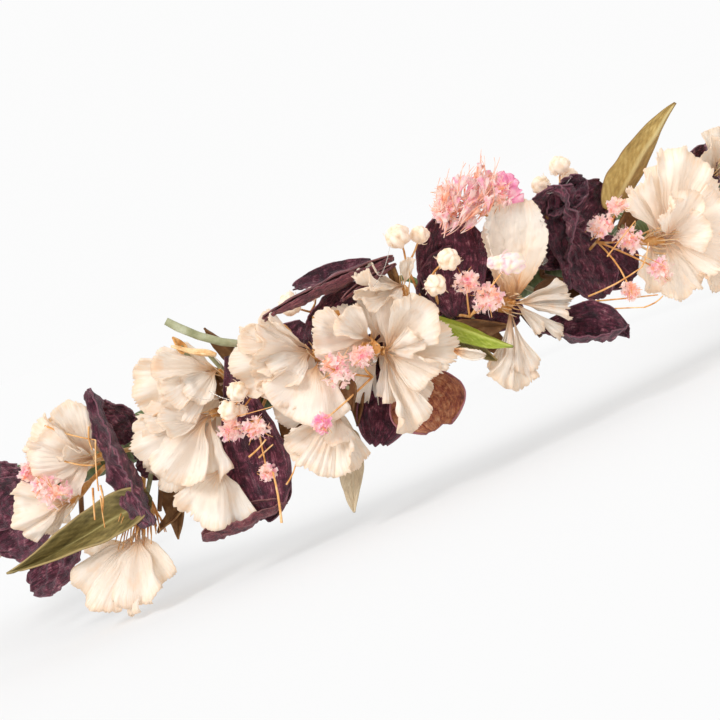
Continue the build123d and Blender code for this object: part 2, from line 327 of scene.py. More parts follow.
# Stems and scraps: colours, the size of the fibre, the bump in mm
orangeTwig = drySurface("driedOrangeTwig", [(0.3, "#bd7838"), (0.5, "#e2a764"), (0.75, "#f6d4a4")], 600.0, 0.1)
calyxSkin = drySurface("driedCalyx", [(0.3, "#ae6a2e"), (0.5, "#dca05a"), (0.75, "#f2cc98")], 500.0, 0.15)
paleStrip = drySurface("driedPaleStrip", [(0.3, "#d99e5e"), (0.5, "#f4d2a0"), (0.75, "#fff0d6")], 500.0, 0.1)
brownScrap = drySurface("driedBrownLeaf", [
    (0.25, "#3f2a1c"), (0.5, "#75502f"), (0.75, "#ab8458")], 260.0, 0.3, 0.65)
stalkSkin = drySurface("driedGreyStalk", [(0.3, "#83845e"), (0.5, "#a6a682"), (0.75, "#c6c8ae")], 300.0, 0.2)
wirePaper = drySurface("wirePaper", [(0.3, "#3a4423"), (0.5, "#4f5b32"), (0.75, "#6d7a4a")], 900.0, 0.08, 0.7)
tapeSkin = crepeTape()
glueSkin = clearGlue()
print("materials done")


# Shape helpers

def clearSelection():
    if bpy.context.object and bpy.context.object.mode != "OBJECT":
        bpy.ops.object.mode_set(mode="OBJECT")
    bpy.ops.object.select_all(action="DESELECT")


def gridSheet(columns, rows, place, identity=0):
    # A grid whose points are laid by place(across -1 to 1, along 0 to 1), its map kept off the whole numbers
    clearSelection()
    bpy.ops.mesh.primitive_grid_add(x_subdivisions=columns, y_subdivisions=rows, size=1, calc_uvs=True)
    sheet = bpy.context.object
    for loopUv in sheet.data.uv_layers[0].data:
        loopUv.uv.x = 0.01 + 0.98 * loopUv.uv.x + identity
    sheet.data.uv_layers[0].name = "UVMap"
    for vertex in sheet.data.vertices:
        vertex.co = place(2 * vertex.co.x, vertex.co.y + 0.5)
    return sheet


def thicken(sheet, thickness):
    bpy.context.view_layer.objects.active = sheet
    wall = sheet.modifiers.new("wall", "SOLIDIFY")
    wall.thickness = thickness * mm
    wall.offset = 0
    bpy.ops.object.modifier_apply(modifier=wall.name)
    bpy.ops.object.shade_smooth()
    return sheet


def dressed(piece, material):
    piece.data.materials.clear()
    piece.data.materials.append(material)
    return piece


def joined(parts, name):
    clearSelection()
    for part in parts:
        part.select_set(True)
    bpy.context.view_layer.objects.active = parts[0]
    if len(parts) > 1:
        bpy.ops.object.join()
    parts[0].name = name
    return parts[0]


def standFor(piece, node):
    # Hands a finished piece to the frame in place of its CAD node
    piece.name = node + "_look"
    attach(piece, "root")
    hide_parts(node)


def rods(runs, material, sides=1):
    # Thin round stems: each run is a list of (point, radius in mm)
    curve = bpy.data.curves.new("rods", "CURVE")
    curve.dimensions = "3D"
    curve.bevel_depth = 1.0
    curve.bevel_resolution = sides
    curve.use_fill_caps = True
    for run in runs:
        spline = curve.splines.new("POLY")
        spline.points.add(len(run) - 1)
        for point, (spot, radius) in zip(spline.points, run):
            point.co = (*spot, 1)
            point.radius = radius * mm
    drawn = bpy.data.objects.new("rods", curve)
    bpy.context.collection.objects.link(drawn)
    clearSelection()
    drawn.select_set(True)
    bpy.context.view_layer.objects.active = drawn
    bpy.ops.object.convert(target="MESH")
    bpy.ops.object.shade_smooth()
    made = bpy.context.object
    made.data.uv_layers.new(name="UVMap")
    return dressed(made, material)


def bowed(start, end, sag, radiusStart, radiusEnd, steps=6):
    # A stem from start to end that bows by sag, a vector
    run = []
    for step in range(steps + 1):
        t = step / steps
        spot = start.lerp(end, t) + sag * math.sin(math.pi * t)
        run.append((spot, radiusStart + (radiusEnd - radiusStart) * t))
    return run


def axesOf(heading, outward, turn=0.0):
    # Across, along and face of a flat part that runs along heading and faces outward, turned about itself
    along = heading.normalized()
    face = outward - along * outward.dot(along)
    face = face.normalized() if face.length > 0.05 else along.orthogonal().normalized()
    face = Matrix.Rotation(math.radians(turn), 3, along) @ face
    return along.cross(face), along, face


# Fan petals of the cream flowers. Degrees for fan, curl, cup and the folds (where across -1 to 1, by how
# much), a number for pleats, mm for shift and thickness; the rest are shares of the petal's length
fanLook = {
    "fan": 62, "folds": (), "curl": -12, "cup": 25, "pleat": 0.009, "pleats": 8, "ruffle": 0.075,
    "teeth": 0.05, "crumple": 0.1, "narrow": 0.1, "shift": (0, 0, 0), "thickness": 0.12,
}
curlFrom = 0.35  # share of a fan petal's length that stays straight


def easeIn(x):
    x = max(0.0, min(1.0, x))
    return x * x * (3 - 2 * x)


def shifted(base, outward, shift):
    # Moved along the ring, outwards and up, in millimetres
    ringward = Vector((0, 0, 1)).cross(outward)
    return base + (ringward * shift[0] + outward * shift[1] + Vector((0, 0, shift[2]))) * mm


def fanPetal(base, heading, outward, length, turn=0.0, seed=1, columns=46, rows=18, **look):
    # A toothed fan on a narrow claw, pleated, then cupped, curled and creased along lines from its base
    look = {**fanLook, **look}
    dice = random.Random(seed)
    phase = [dice.uniform(0, fullTurn) for _ in range(6)]
    cuts = [dice.uniform(0.0, 1.0) ** 1.5 for _ in range(columns + 2)]
    across, along, face = axesOf(heading, outward, turn)
    half, cup, curl = math.radians(look["fan"]) / 2, math.radians(look["cup"]), math.radians(look["curl"])
    cupRate = cup / (2 * math.sin(half))
    folds = [(side, side * half, math.radians(bend)) for side, bend in look["folds"]]
    longest = 1 - 0.1 * dice.random()

    def place(u, t):
        column = int(round((u + 1) / 2 * columns))
        cut = cuts[column] if column % 2 else 0.15 * cuts[column]
        ragged = 0.9 * noise.noise(Vector((u * 3 + seed, 0.3, 0)))
        reach = t * (longest - 0.13 * u * u - look["teeth"] * (cut - ragged) * t ** 3)
        spread = 0.16 + 0.84 * easeIn((t - look["narrow"] * 0.5) / (look["narrow"] + 0.35))
        angle = u * half * spread
        x, y = reach * math.sin(angle), reach * math.cos(angle)
        wander = 1.2 * noise.noise(Vector((u * 1.7, seed, 0.5)))
        pleats = math.sin(look["pleats"] * math.pi * (u + 0.3 * wander) + phase[0])
        ruffles = 1.2 * t * t * math.sin(1.82 * math.pi * u + phase[1])
        spot = Vector((x * 3.1 + phase[2], y * 2.1, phase[3]))
        ridges = 0.5 - 1.5 * abs(noise.noise(spot * 0.9)) - 0.25 * abs(noise.noise(spot * 5.0))
        dents = ridges + 0.5 * noise.noise(spot * 2.5)
        z = look["pleat"] * (0.3 + t) * pleats + look["ruffle"] * ruffles + look["crumple"] * t * dents
        if cup:
            turned = cupRate * x
            x, z = math.sin(turned) / cupRate - z * math.sin(turned), (1 - math.cos(turned)) / cupRate + z
        if curl and y > curlFrom:
            rate = curl / (1 - curlFrom)
            turned = rate * (y - curlFrom)
            y = curlFrom + math.sin(turned) / rate - z * math.sin(turned)
            z += (1 - math.cos(turned)) / rate
        point = Vector((x, y, z))
        for side, line, bend in folds:
            past = (u - side) if side >= 0 else (side - u)
            if past > 0:
                share = bend * easeIn(past / 0.22) * (-1 if side >= 0 else 1)
                point = Matrix.Rotation(share, 3, (math.sin(line), math.cos(line), 0)) @ point
        return start + (across * point.x + along * point.y + face * point.z) * length * mm

    start = shifted(base, outward, look["shift"])
    return dressed(thicken(gridSheet(columns, rows, place, seed % maps), look["thickness"]), creamPetal)


# Radii along the calyx as (share of its length, mm); a ruff has more bracts than "few", and darker ones
calyxPlan = {
    "longest": 7.0, "swelling": ((0, 0.5), (0.15, 0.75), (0.5, 1.0), (0.85, 0.8), (1, 0.4)),
    "stem": 0.5, "strips": 6, "stripRadii": (0.17, 0.06), "bractRadii": (0.3, 0.1), "few": 9,
}


def calyxAndStem(foot, centre, seed, bracts=0):
    # Stem from the tape, a swollen calyx, thin strips where the petals start and bracts round them
    dice = random.Random(seed)
    along = (centre - foot).normalized()
    side = along.orthogonal().normalized()
    length = min(calyxPlan["longest"] * mm, (centre - foot).length * 0.8)
    neck = centre - along * length
    run = [(neck + along * length * share, radius) for share, radius in calyxPlan["swelling"]]
    stem = rods([[(foot, calyxPlan["stem"])] + run], calyxSkin, 2)
    strips = []
    for step in range(calyxPlan["strips"]):
        outwards = Matrix.Rotation(step * 1.05 + dice.random(), 3, along) @ side
        tip = centre + along * dice.uniform(1, 5) * mm + outwards * dice.uniform(0.5, 2.0) * mm
        start = centre - along * 2 * mm + outwards * 0.6 * mm
        strips.append(bowed(start, tip, outwards * 0.3 * mm, *calyxPlan["stripRadii"], 4))
    for _ in range(bracts):
        outwards = Matrix.Rotation(dice.uniform(0, fullTurn), 3, along) @ side
        start = foot.lerp(centre, dice.uniform(0.3, 0.6))
        tip = centre + along * dice.uniform(-1, 4.5) * mm + outwards * dice.uniform(1.5, 5.5) * mm
        strips.append(bowed(start, tip, outwards * 0.8 * mm, *calyxPlan["bractRadii"], 5))
    return [stem, rods(strips, orangeTwig if bracts > calyxPlan["few"] else paleStrip)]


# Where each cream flower's petals start, and its petals: (swing, lean, length, turn, look). "behind" are the
# swings of a plain back row. A "leafy" petal is smooth and that wide, not a fan
creamFlowers = {
    "cream_flower_01": {"centre": (-32.5, 106, 2), "behind": (120, 160), "petals": [
        (119, 25, 14, 0, {"fan": 70, "folds": ((0.2, 40),)}), (84, 15, 13.5, 20, {"fan": 55}),
        (143, 35, 14, -10, {"fan": 76}), (160, 10, 17, 0, {"fan": 60}), (172, 25, 13, 20, {"fan": 46}),
        (100, 55, 9, 0, {"fan": 60, "curl": 30}),
        (205, 25, 9, 0, {"fan": 50})]},
    "cream_flower_02": {"centre": (-37.5, 107, -4.5), "behind": (200,), "petals": [
        (168, 30, 13, 0, {"fan": 74, "pleats": 3, "pleat": 0.07, "teeth": 0.03}),
        (145, 10, 11, 20, {"fan": 46}), (195, 15, 11, -20, {"fan": 50})]},
    "cream_flower_03": {"centre": (-31.5, 103, -14.5), "bracts": 40, "behind": (), "petals": [
        (252, 30, 17.5, 0, {"fan": 64, "teeth": 0.02, "curl": -40}),
        (212, 20, 20, 10, {"fan": 46, "teeth": 0.02}),
        (192, 8, 14, 0, {"fan": 62, "teeth": 0.02, "curl": -35, "shift": (-3, -2, -2.5)}),
        (276, 20, 13, -15, {"fan": 60}), (228, 5, 19.5, 25, {"fan": 60})]},
    "cream_flower_04": {"centre": (-14.7, 103, 9), "behind": (170, 215), "petals": [
        (172, 15, 18, 0, {"fan": 50, "folds": ((-0.3, 40),), "teeth": 0.04}), (155, 25, 14, 25, {"fan": 50}),
        (199, 35, 15, -10, {"fan": 56, "teeth": 0.04}), (208, 55, 10, 0, {"fan": 60, "curl": -40}),
        (183, 40, 13, 35, {"fan": 46, "folds": ((0.1, 70),)}), (140, 5, 10, 0, {"fan": 50})]},
    "cream_flower_05": {"centre": (-17, 106, 1.5), "behind": (190, 225), "petals": [
        (181, 26, 17.5, 10, {"fan": 56, "folds": ((0.3, -40),)}),
        (210, 34, 17, 0, {"fan": 74, "curl": -35, "teeth": 0.04, "crumple": 0.13}),
        (240, 18, 15.5, 0, {"fan": 88, "shift": (-1, 1, -9), "folds": ((-0.25, -30),), "crumple": 0.13,
                            "teeth": 0.08}),
        (209, 8, 20, 15, {"fan": 50}), (157, 25, 15, 55, {"fan": 40}),
        (170, 40, 12, 40, {"fan": 44, "curl": 30}), (248, 12, 14, 10, {"fan": 50})]},
    "cream_flower_06": {"centre": (-4.2, 106, 5), "behind": (170, 220, 260), "petals": [
        (138, 18, 16, 25, {"fan": 46, "folds": ((0.0, 110),), "teeth": 0.03}),
        (120, 20, 13, -20, {"fan": 50, "folds": ((0.2, 60),), "teeth": 0.03}),
        (153, 34, 15.5, 0, {"fan": 52, "curl": 25}),
        (170, 22, 17, 0, {"fan": 54, "curl": -45, "teeth": 0.03}),
        (188, 30, 15, 10, {"fan": 50, "curl": -30, "teeth": 0.04}),
        (205, 30, 14, 0, {"fan": 56, "folds": ((0.2, 50),)}),
        (176, 50, 12, 15, {"fan": 70, "curl": -60, "teeth": 0.02, "crumple": 0.14}),
        (231, 40, 14.5, 0, {"fan": 100, "curl": -60, "teeth": 0.0, "cup": -50, "pleat": 0.0,
                            "shift": (0.5, 2, -2)}),
        (212, 25, 15, 20, {"fan": 50})]},
    "cream_flower_07": {"centre": (-4.2, 108, -7.5), "behind": (120, 180, 240), "petals": [
        (228, 26, 14, 0, {"fan": 96, "pleats": 12, "pleat": 0.022, "folds": ((0.3, -45), (-0.25, 40))}),
        (196, 12, 12.5, 10, {"fan": 56, "folds": ((0.0, 40),)}), (262, 8, 12, -15, {"fan": 50}),
        (240, 50, 9, 0, {"fan": 70, "folds": ((0.0, 60),)})]},
    "cream_flower_08": {"centre": (1.8, 107.5, 2.5), "petals": [
        (140, 22, 13.8, 0, {"fan": 60, "folds": ((0.35, 60),), "pleats": 7}),
        (118, 42, 10.5, 0, {"fan": 54, "folds": ((-0.2, 50),), "curl": -30, "teeth": 0.02}),
        (160, 10, 12, -20, {"fan": 50}), (100, 15, 9, 30, {"fan": 50})]},
    "cream_flower_09": {"centre": (2.7, 107.5, -0.5), "behind": (60, 200), "petals": [
        (30, 26, 14, -15, {"fan": 78, "folds": ((-0.3, 75),), "cup": 40, "teeth": 0.02, "crumple": 0.12}),
        (-18, 14, 15.5, 10, {"fan": 54, "pleats": 9, "pleat": 0.012, "folds": ((0.1, 35),), "teeth": 0.08}),
        (-52, 34, 12.5, -10, {"fan": 50, "folds": ((-0.2, 60),), "teeth": 0.03}),
        (-94, 22, 17.5, 10, {"fan": 36, "folds": ((0.2, 55),), "ruffle": 0.09, "teeth": 0.03}),
        (-74, 5, 13, 25, {"fan": 46}), (-5, 45, 10, 30, {"fan": 46, "folds": ((0.0, 60),)}),
        (50, -5, 11, 0, {"fan": 60}), (-112, 15, 11, 0, {"fan": 40, "folds": ((0.0, -60),)}),
        (-34, 15, 6, 20, {"leafy": 3.4, "roll": 200, "shift": (12, 6, -4.5)})]},
    "cream_flower_10": {"centre": (7.5, 104, 9.5), "behind": (), "petals": [
        (158, 32, 13, 68, {"fan": 44, "curl": 40, "teeth": 0.04}),
        (172, 30, 13, 45, {"fan": 40, "folds": ((0.0, 80),)}),
        (140, 10, 10, 30, {"fan": 40, "folds": ((0.0, 90),)}),
        (185, 45, 8, 60, {"fan": 50}), (60, 20, 6, 40, {"fan": 50, "folds": ((0.0, 90),)})]},
    "cream_flower_11": {"centre": (17.6, 105, -1), "behind": (), "petals": [
        (64, 12, 19.5, -10, {"leafy": 13, "widest": 0.62, "teeth": 0.09, "ragged": 0.12, "cup": -0.15,
                             "fold": 25, "foldAt": 0.3}),
        (72, 6, 19.5, 15, {"leafy": 12, "widest": 0.7, "teeth": 0.16, "fold": -30, "crumple": 0.08}),
        (60, -12, 16, -10, {"fan": 34, "narrow": 0.02})]},
    "cream_flower_12": {"centre": (17.8, 105.5, -2), "behind": (), "petals": [
        (-33, 25, 12.5, 20, {"fan": 40, "pleats": 10, "pleat": 0.03, "teeth": 0.14, "folds": ((0.1, -50),)}),
        (-60, 12, 12.5, 30, {"fan": 16, "folds": ((0.0, 60),)}),
        (-12, 8, 12, 20, {"fan": 36, "folds": ((0.0, 50),)}), (-80, 30, 9, 0, {"fan": 24})]},
    "cream_flower_13": {"centre": (17.2, 104.5, -3), "behind": (), "petals": [
        (-113, 6, 16.5, 0, {"fan": 44, "narrow": 0.5, "pleats": 4, "pleat": 0.03, "folds": ((0.2, 40),)}),
        (-102, 14, 14.5, 25, {"fan": 26, "narrow": 0.4}), (-124, 0, 14.5, 20, {"fan": 30, "narrow": 0.5})]},
    "cream_flower_14": {"centre": (39, 106, -3.5), "paintedBright": True, "bracts": 8, "behind": (60, 0, 300, 240),
                        "petals": [
        (85, 12, 16, 15, {"fan": 50}), (58, 20, 21, 0, {"fan": 52, "pleats": 10}),
        (30, 12, 20, -10, {"fan": 54}),
        (2, 25, 17, 0, {"fan": 60}), (-38, 18, 15, 0, {"fan": 60}), (-80, 10, 13, 0, {"fan": 50}),
        (-122, 12, 14, 10, {"fan": 46, "folds": ((0.1, 40),)}), (98, 48, 11, 0, {"fan": 66}),
        (70, 45, 13, 20, {"fan": 60, "folds": ((0.0, 50),)}), (-10, 60, 10, 0, {"fan": 70}),
        (112, 5, 14, 20, {"fan": 44})]},
    "cream_flower_15": {"centre": (45, 104, -8), "petals": [
        (60, 20, 13, 0, {}), (20, 25, 13, 0, {}), (-20, 10, 13, 0, {}), (-70, 15, 12, 10, {}),
        (-120, 20, 12, 0, {}), (160, 35, 9, 0, {}), (95, 30, 11, 20, {})]},
}
allRound = (0, 60, 120, 180, 240, 300)
leafyLook = {"ragged": 0.05, "rim": 20, "crumple": 0.04, "shift": (0, 0, 0)}


def creamFlower(node, plan, seed):
    around, radius, height = plan["centre"]
    centre = onCrown(around, radius, height)
    outward = crownAxes(around)[0]
    parts = []
    for count, (swing, lean, length, turn, look) in enumerate(plan["petals"]):
        heading = headingAt(around, swing, lean)
        if "leafy" in look:
            look = {**leafyLook, **look}
            width = look.pop("leafy")
            start = shifted(centre, outward, look.pop("shift"))
            parts.append(rosePetal(start, heading, outward, length, width, turn, seed + count, creamPetal,
                                   **look))
        else:
            parts.append(fanPetal(centre, heading, outward, length, turn, seed * 11 + count, **look))
    dice = random.Random(seed)
    behind = centre.lerp(nearTape(around), 0.35)
    for count, swing in enumerate(plan.get("behind", allRound)):
        swing += dice.uniform(-15, 15)
        heading = headingAt(around, swing, dice.uniform(-12, 12))
        length, turn = dice.uniform(11, 14), dice.uniform(-20, 20)
        fan = dice.uniform(50, 74)
        fold = (dice.uniform(-0.3, 0.3), dice.uniform(-50, 50))
        parts.append(fanPetal(behind, heading, outward, length, turn, seed * 31 + count, 30, 10,
                              fan=fan, folds=(fold,)))
    # This flower's petals take the copy with the stronger painted glow
    if plan.get("paintedBright"):
        for petal in parts:
            petal.data.materials[0] = paintedBrightPetal
    foot = onCrown(around * 0.97, stemRadius, height * 0.15)
    parts += calyxAndStem(foot, centre, seed, plan.get("bracts", 0))
    standFor(joined(parts, node), node)


def islandsOf(node):
    # The points of each solid of a CAD part that has several, taken from a copy
    source = bpy.data.objects[node]
    clearSelection()
    copy = source.copy()
    copy.data = source.data.copy()
    bpy.context.collection.objects.link(copy)
    copy.select_set(True)
    bpy.context.view_layer.objects.active = copy
    bpy.ops.object.mode_set(mode="EDIT")
    bpy.ops.mesh.select_all(action="SELECT")
    bpy.ops.mesh.remove_doubles(threshold=0.00001)
    bpy.ops.mesh.separate(type="LOOSE")
    bpy.ops.object.mode_set(mode="OBJECT")
    found = []
    for part in list(bpy.context.selected_objects):
        points = numpy.array([tuple(v.co) for v in part.data.vertices])
        found.append(points)
        bpy.data.objects.remove(part)
    return found


def standOf(points):
    # Where one solid stands: its end at the wire, its far end, its middle, the way its flat side faces
    fromAxis = numpy.hypot(points[:, 0], points[:, 1])
    fromWire = numpy.hypot(fromAxis - wireRadius * mm, points[:, 2])
    foot = points[fromWire.argmin()]
    tip = points[numpy.linalg.norm(points - foot, axis=1).argmax()]
    middle = (points.min(axis=0) + points.max(axis=0)) / 2
    spread = numpy.cov((points - points.mean(axis=0)).T)
    facing = Vector(numpy.linalg.eigh(spread)[1][:, 0])
    around = math.degrees(math.atan2(middle[0], -middle[1]))
    outward = crownAxes(around)[0]
    if facing.dot(outward) < 0:
        facing = -facing
    return {"foot": Vector(foot), "tip": Vector(tip), "middle": Vector(middle), "facing": facing,
            "around": around, "outward": outward}


def sideCreamFlowers():
    parts = []
    for count, points in enumerate(islandsOf("cream_flowers_sides")):
        stand = standOf(points)
        dice = random.Random(500 + count)
        centre = stand["foot"].lerp(Vector(points.mean(axis=0)), 0.85)
        reach = (stand["tip"] - stand["foot"]).length / mm
        for petal in range(8):
            swing = petal * 45 + dice.uniform(-16, 16)
            heading = headingAt(stand["around"], swing, dice.uniform(5, 65))
            length, turn = reach * dice.uniform(0.5, 0.62), dice.uniform(-25, 25)
            fan, curl = dice.uniform(46, 70), dice.uniform(-40, 20)
            fold = (dice.uniform(-0.4, 0.4), dice.uniform(-60, 70))
            parts.append(fanPetal(centre, heading, stand["outward"], length, turn, 500 + 9 * count + petal,
                                  26, 10, fan=fan, curl=curl, folds=(fold,)))
        parts += calyxAndStem(stand["foot"], centre, 600 + count)
    standFor(joined(parts, "cream_flowers_sides"), "cream_flowers_sides")


sideCreamFlowers()
print("side flowers done")


# Smooth and rolled petals. Degrees for fold, roll, rim and curl, mm for thickness; foldAt is across -1 to 1,
# widest a share of the way up, teeth and ragged shares of the width, the rest shares of the length
roseLook = {
    "cup": 0.25, "fold": 0, "foldAt": 0.0, "roll": 0, "rim": 50, "curl": 0, "crumple": 0.07, "wrinkle": 0.012,
    "ragged": 0.08, "widest": 0.55, "teeth": 0.0, "thickness": 0.28,
}
rimFrom = 0.72  # how far across the rim starts to turn


def crumpled(spot):
    # Sharp ridges between flat facets, as in crushed paper
    sharp, size = 0.0, 1.0
    for octave in range(4):
        sharp += size * (0.5 - abs(noise.noise(spot * 1.9 ** octave + Vector((octave, 0, 0)))) * 1.9)
        size *= 0.55
    return sharp


def rosePetal(base, heading, outward, length, width, turn, seed, material, steps=44, **look):
    # An oval sheet, crumpled, then rolled or cupped with its rim turned, then curled and folded
    look = {**roseLook, **look}
    dice = random.Random(seed)
    shift = Vector([dice.uniform(-9, 9) for _ in range(3)])
    across, along, face = axesOf(heading, outward, turn)
    aspect = width / length
    fold, roll, rim, curl = (math.radians(look[k]) for k in ("fold", "roll", "rim", "curl"))
    skew = math.log(0.5) / math.log(look["widest"])
    cuts = [1 - look["teeth"] * (dice.random() if row % 2 else 0) for row in range(steps + 2)]

    def place(u, t):
        profile = 0.1 + 0.9 * max(0.0, math.sin(math.pi * (0.02 + 0.95 * t) ** skew)) ** 0.6
        half = 0.5 * aspect * profile * (1 + look["ragged"] * noise.noise(Vector((u * 1.5, t * 6, seed))))
        half *= cuts[int(round(t * steps))] if abs(u) > 0.85 else 1
        flatX = half * u
        at = Vector((flatX * 4.2, t * 4.2, 0)) + shift
        z = look["crumple"] * crumpled(at) * 0.6 + look["wrinkle"] * noise.noise(at * 6)
        y = t * (1 + 0.06 * noise.noise(Vector((u * 2, seed, 1))))
        if roll:
            # Rolled lengthwise, as a petal dries from its edges
            turned = u * roll / 2
            radius = half / (roll / 2)
            x, z = (radius - z) * math.sin(turned), radius * (1 - math.cos(turned)) * 1.3 + z
        else:
            x = flatX
            z += look["cup"] * (x * x * 2 + (t - 0.5) ** 2)
            past = abs(u) - rimFrom
            if rim and past > 0:
                turned = rim * past / (1 - rimFrom)
                radius = (1 - rimFrom) * half / rim
                x = math.copysign(rimFrom * half + radius * math.sin(turned), u)
                z += radius * (1 - math.cos(turned))
        if curl and t > 0.5:
            turned = curl * (t - 0.5) * 2
            rate = curl * 2
            y, z = 0.5 + math.sin(turned) / rate - z * math.sin(turned), z + (1 - math.cos(turned)) / rate
        point = Vector((x, y, z))
        past = u - look["foldAt"]
        if fold and past > 0:
            point = Matrix.Rotation(-fold * easeIn(past / 0.16), 3, "Y") @ point
        return base + (across * point.x + along * point.y + face * point.z) * length * mm

    return dressed(thicken(gridSheet(steps, steps, place, seed % maps), look["thickness"]), material)


for seed, (node, plan) in enumerate(creamFlowers.items(), 3):
    creamFlower(node, plan, seed)
print("cream flowers done")

# Each burgundy petal: place of its base, (swing, lean), length, width, turn, look
burgundyPetals = {
    "burgundy_petal_01": [((-43, 100, 0), (200, 10), 22, 18, 0, {"crumple": 0.1}),
                          ((-41, 101, -13), (200, 8), 19, 11, 20, {"crumple": 0.1})],
    "burgundy_petal_02": [((-45, 101, 3), (185, 10), 20, 15, 0, {"crumple": 0.12}),
                          ((-22, 98, 0), (195, 0), 14, 12, 20, {"crumple": 0.1}),
                          ((-27, 98, 4), (150, 0), 13, 11, -20, {"crumple": 0.1})],
    "burgundy_petal_03": [((-26.5, 107.5, -14), (96, 2), 29, 15.5, -20, {"fold": 40, "foldAt": -0.1, "rim": 0,
                                                                    "widest": 0.34, "curl": -20,
                                                                    "ragged": 0.03})],
    "burgundy_petal_04": [((-13, 103, 10.5), (262, 4), 31, 14, 0, {"crumple": 0.035, "cup": 0.05,
                                                                 "widest": 0.7})],
    "burgundy_petal_05": [((-14, 99, -8), (248, 12), 15.5, 13, 0, {"crumple": 0.06}),
                          ((-13.2, 105, -20.5), (186, 8), 18.5, 8, 60, {"roll": 200, "crumple": 0.03,
                                                                    "curl": 25,
                                                                       "skin": curledPetal})],
    "burgundy_petal_06": [((7.5, 104, 15), (181, 6), 28, 7, 30, {"roll": 330, "crumple": 0.02, "ragged": 0.25,
                                                               "widest": 0.42, "skin": curledPetal}),
                          ((7.5, 105, 14), (190, 8), 13, 4, 30, {"roll": 300, "crumple": 0.02,
                                                               "skin": curledPetal})],
    "burgundy_petal_07": [((5.5, 101, 16.5), (176, 0), 16, 4.5, 30, {"roll": 90, "crumple": 0.05}),
                          ((5, 98, 12), (190, 5), 16, 9, -20, {"crumple": 0.08}),
                          ((-4, 97, 10), (215, 0), 15, 12, 20, {"crumple": 0.08}),
                          ((3, 97, 3), (255, 0), 15, 12, 10, {"crumple": 0.1})],
    "burgundy_petal_08": [((2.2, 100, -5), (238, 14), 14.5, 11, 0, {"crumple": 0.05, "rim": 80}),
                          ((4.5, 101, -4), (-88, 14), 15, 17, 0, {"crumple": 0.06, "rim": 90, "widest": 0.66,
                                                                  "ragged": 0.03, "skin": rustPetal})],
    "burgundy_petal_09": [((12, 98, 0), (72, 5), 20, 15, 0, {"crumple": 0.05}),
                          ((8.5, 97, 3), (35, 0), 15, 12, 20, {"crumple": 0.1}),
                          ((14, 97, 4), (20, 5), 16, 12, -20, {"crumple": 0.1}),
                          ((12, 97, 3), (-30, 0), 15, 10, 20, {"crumple": 0.1})],
    "burgundy_petal_10": [((25, 103, -4), (74, 12), 22, 15, -15, {"crumple": 0.1, "wrinkle": 0.03, "curl": 25,
                                                                  "widest": 0.8, "fold": 75, "foldAt": 0.25,
                                                                  "rim": 0}),
                          ((25, 106, 11), (20, 5), 11, 9, 30, {"crumple": 0.16, "fold": 70, "rim": 30})],
    "burgundy_petal_11": [((29.5, 99, 6), (-95, 8), 15, 13, 0, {"crumple": 0.08}),
                          ((31, 99, 3), (-60, 5), 13, 11, 20, {"crumple": 0.08}),
                          ((23, 97, 4), (10, 0), 16, 12, 0, {"crumple": 0.1}),
                          ((30, 97, 4), (30, 0), 15, 11, 0, {"crumple": 0.1})],
    "burgundy_petal_12": [((19.5, 101, -10), (-28, 20), 19, 15, 10, {"crumple": 0.07, "fold": 85,
                                                                    "foldAt": -0.2,
                                                                     "widest": 0.6, "curl": 20, "rim": 0})],
    "burgundy_petal_13": [((50, 99, 0), (40, 10), 15, 11, 0, {"crumple": 0.1}),
                          ((52, 98, -3), (-40, 15), 16, 14, 0, {"crumple": 0.1})],
}


def burgundyPiece(node, petals, seed):
    parts = []
    for count, (place, (swing, lean), length, width, turn, look) in enumerate(petals):
        look = dict(look)
        skin = look.pop("skin", burgundyPetal)
        base = onCrown(*place)
        outward = crownAxes(place[0])[0]
        heading = headingAt(place[0], swing, lean)
        parts.append(rosePetal(base, heading, outward, length, width, turn, seed * 5 + count, skin, **look))
        claw = bowed(nearTape(place[0]), base + heading * length * 0.06 * mm, straight, 0.6, 0.5, 2)
        parts.append(rods([claw], brownScrap))
    standFor(joined(parts, node), node)


for seed, (node, petals) in enumerate(burgundyPetals.items(), 20):
    burgundyPiece(node, petals, seed)


def sideBurgundyPetals():
    parts = []
    for count, points in enumerate(islandsOf("burgundy_petals_sides")):
        stand = standOf(points)
        foot, tip = stand["foot"], stand["tip"]
        dice = random.Random(700 + count)
        length = (tip - foot).length / mm * 0.95
        width = length * dice.uniform(0.7, 0.95)
        outward = (stand["outward"] + stand["facing"]).normalized()
        parts.append(rosePetal(foot.lerp(tip, 0.12), tip - foot, outward, length, width, dice.uniform(-25, 25),
                               700 + count, burgundyPetal, 26,
                               crumple=dice.uniform(0.06, 0.12), fold=dice.uniform(-40, 60)))
        parts.append(rods([bowed(foot, foot.lerp(tip, 0.2), straight, 0.6, 0.5, 2)], brownScrap))
    standFor(joined(parts, "burgundy_petals_sides"), "burgundy_petals_sides")


sideBurgundyPetals()
print("burgundy petals done")


leafThickness = 0.35


